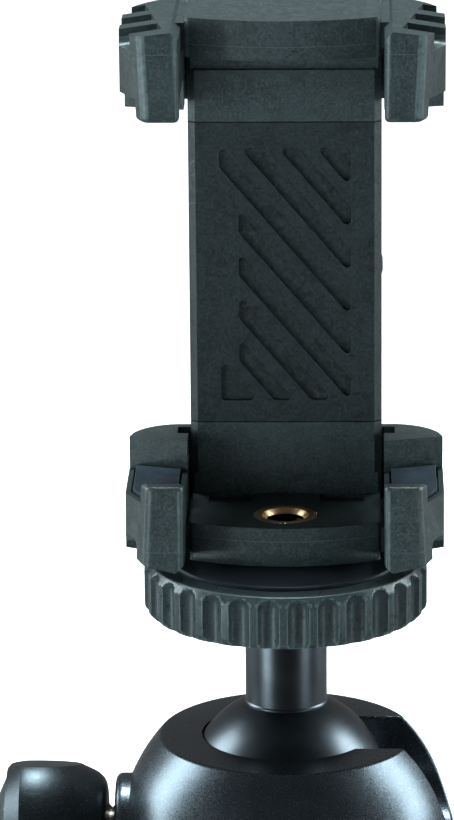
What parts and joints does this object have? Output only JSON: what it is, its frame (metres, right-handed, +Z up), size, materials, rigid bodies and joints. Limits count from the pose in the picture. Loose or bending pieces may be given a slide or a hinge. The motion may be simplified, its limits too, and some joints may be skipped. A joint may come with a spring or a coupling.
{
  "type": "table tripod",
  "caption": "Compact table tripod with telescopic folding legs, a ball head with side lock knob, a fluted locking ring and a sprung phone clamp with clawed jaws.",
  "frame": {"origin": "on the tripod's vertical axis at floor level, legs spread and retracted", "axes": "+Z up, -Y the side that the phone clamp faces, +X the side of the ball head's drop slot"},
  "size_m": [0.1638, 0.1442, 0.2944],
  "materials": {
    "satin_black_metal": "satin charcoal paint with a fine sparkle",
    "black_anodised": "satin black anodised",
    "charcoal_plastic": "fine sparked texture",
    "black_rubber": "matt",
    "brass": "machined",
    "steel": "machined",
    "inner_plastic": "plain"
  },
  "bodies": {
    "base": {"leg_hub": "satin_black_metal", "hub_stud": "steel", "hub_bottom_cap": "charcoal_plastic", "friction_washer": "black_rubber", "ball_housing": "satin_black_metal", "base_plug": "inner_plastic", "wave_spring": "steel", "cup_seat": "inner_plastic", "lock_bush": "brass", "back_leg_pin": "steel", "left_leg_pin": "steel", "right_leg_pin": "steel"},
    "ball_cup": {"ball_cup": "inner_plastic"},
    "ball": {"ball": "black_anodised"},
    "stem": {"stem": "black_anodised", "camera_screw": "steel"},
    "platform_disc": {"platform_disc": "black_rubber"},
    "locking_ring": {"locking_ring": "charcoal_plastic"},
    "clamp": {"lower_jaw": "charcoal_plastic", "thread_insert": "brass", "lower_pads": "black_rubber", "front_cover": "charcoal_plastic", "back_cover": "charcoal_plastic", "cover_screws": "steel", "left_clamp_spring": "steel", "right_clamp_spring": "steel"},
    "upper_jaw": {"upper_jaw": "charcoal_plastic", "upper_pads": "black_rubber"},
    "lock_wheel": {"lock_wheel": "charcoal_plastic", "lock_cam": "steel"},
    "thrust_pad": {"thrust_pad": "inner_plastic"},
    "lock_knob": {"lock_knob": "satin_black_metal", "knob_cap": "charcoal_plastic", "lock_screw": "steel"},
    "back_leg": {"back_leg_head": "satin_black_metal", "back_upper_tube": "black_anodised", "back_glide_bush": "inner_plastic"},
    "back_collar": {"back_twist_collar": "charcoal_plastic"},
    "back_lower_leg": {"back_lower_tube": "black_anodised", "back_foot": "black_rubber"},
    "left_leg": {"left_leg_head": "satin_black_metal", "left_upper_tube": "black_anodised", "left_glide_bush": "inner_plastic"},
    "left_collar": {"left_twist_collar": "charcoal_plastic"},
    "left_lower_leg": {"left_lower_tube": "black_anodised", "left_foot": "black_rubber"},
    "right_leg": {"right_leg_head": "satin_black_metal", "right_upper_tube": "black_anodised", "right_glide_bush": "inner_plastic"},
    "right_collar": {"right_twist_collar": "charcoal_plastic"},
    "right_lower_leg": {"right_lower_tube": "black_anodised", "right_foot": "black_rubber"}
  },
  "joints": [
    {"name": "ball_pitch", "type": "hinge", "parent": "base", "child": "ball_cup", "pos_m": [0, 0, 0.18549], "axis": [1, 0, 0], "range_deg": [-22, 22]},
    {"name": "ball_roll", "type": "hinge", "parent": "ball_cup", "child": "ball", "pos_m": [0, 0, 0.18549], "axis": [0, 1, 0], "range_deg": [-22, 90]},
    {"name": "ball_spin", "type": "hinge", "parent": "ball", "child": "stem", "pos_m": [0, 0, 0.18549], "axis": [0, 0, 1], "continuous": true},
    {"name": "disc_lift", "type": "slide", "parent": "stem", "child": "platform_disc", "axis": [0, 0, 1], "range_m": [-0.000949, 0]},
    {"name": "ring_turn", "type": "hinge", "parent": "platform_disc", "child": "locking_ring", "pos_m": [0, 0, 0.18549], "axis": [0, 0, 1], "range_deg": [-270, 0]},
    {"name": "clamp_turn", "type": "hinge", "parent": "stem", "child": "clamp", "pos_m": [0, 0, 0.22473], "axis": [0, 0, 1], "range_deg": [-90, 90]},
    {"name": "jaw_slide", "type": "slide", "parent": "clamp", "child": "upper_jaw", "axis": [0, 0, 1], "range_m": [0, 0.027], "stiffness_N_per_m": 250, "springref_m": -0.02, "deforming": ["left_clamp_spring", "right_clamp_spring"]},
    {"name": "wheel_turn", "type": "hinge", "parent": "clamp", "child": "lock_wheel", "pos_m": [0.0039, 0.02, 0.25453], "axis": [0, 1, 0], "range_deg": [0, 90]},
    {"name": "pad_feed", "type": "slide", "parent": "base", "child": "thrust_pad", "axis": [1, 0, 0], "range_m": [-0.000747, 0]},
    {"name": "knob_turn", "type": "hinge", "parent": "thrust_pad", "child": "lock_knob", "pos_m": [0, 0, 0.17957], "axis": [1, 0, 0], "range_deg": [-270, 0]},
    {"name": "back_leg_fold", "type": "hinge", "parent": "base", "child": "back_leg", "pos_m": [0, 0.019, 0.14182], "axis": [-1, 0, 0], "range_deg": [0, 26]},
    {"name": "back_collar_twist", "type": "hinge", "parent": "back_leg", "child": "back_collar", "pos_m": [0, 0.019, 0.14182], "axis": [0, 0.4384, -0.8988], "range_deg": [0, 90]},
    {"name": "back_leg_extend", "type": "slide", "parent": "back_leg", "child": "back_lower_leg", "axis": [0, 0.4384, -0.8988], "range_m": [0, 0.045]},
    {"name": "left_leg_fold", "type": "hinge", "parent": "base", "child": "left_leg", "pos_m": [-0.01645, -0.0095, 0.14182], "axis": [0.5, -0.866, 0], "range_deg": [0, 26]},
    {"name": "left_collar_twist", "type": "hinge", "parent": "left_leg", "child": "left_collar", "pos_m": [-0.01645, -0.0095, 0.14182], "axis": [-0.3796, -0.2192, -0.8988], "range_deg": [0, 90]},
    {"name": "left_leg_extend", "type": "slide", "parent": "left_leg", "child": "left_lower_leg", "axis": [-0.3796, -0.2192, -0.8988], "range_m": [0, 0.045]},
    {"name": "right_leg_fold", "type": "hinge", "parent": "base", "child": "right_leg", "pos_m": [0.01645, -0.0095, 0.14182], "axis": [0.5, 0.866, 0], "range_deg": [0, 26]},
    {"name": "right_collar_twist", "type": "hinge", "parent": "right_leg", "child": "right_collar", "pos_m": [0.01645, -0.0095, 0.14182], "axis": [0.3796, -0.2192, -0.8988], "range_deg": [0, 90]},
    {"name": "right_leg_extend", "type": "slide", "parent": "right_leg", "child": "right_lower_leg", "axis": [0.3796, -0.2192, -0.8988], "range_m": [0, 0.045]}
  ],
  "couplings": [
    {"joint": "ring_turn", "follows": "disc_lift", "rad_per_m": 4947.4},
    {"joint": "knob_turn", "follows": "pad_feed", "rad_per_m": 6283.2}
  ]
}
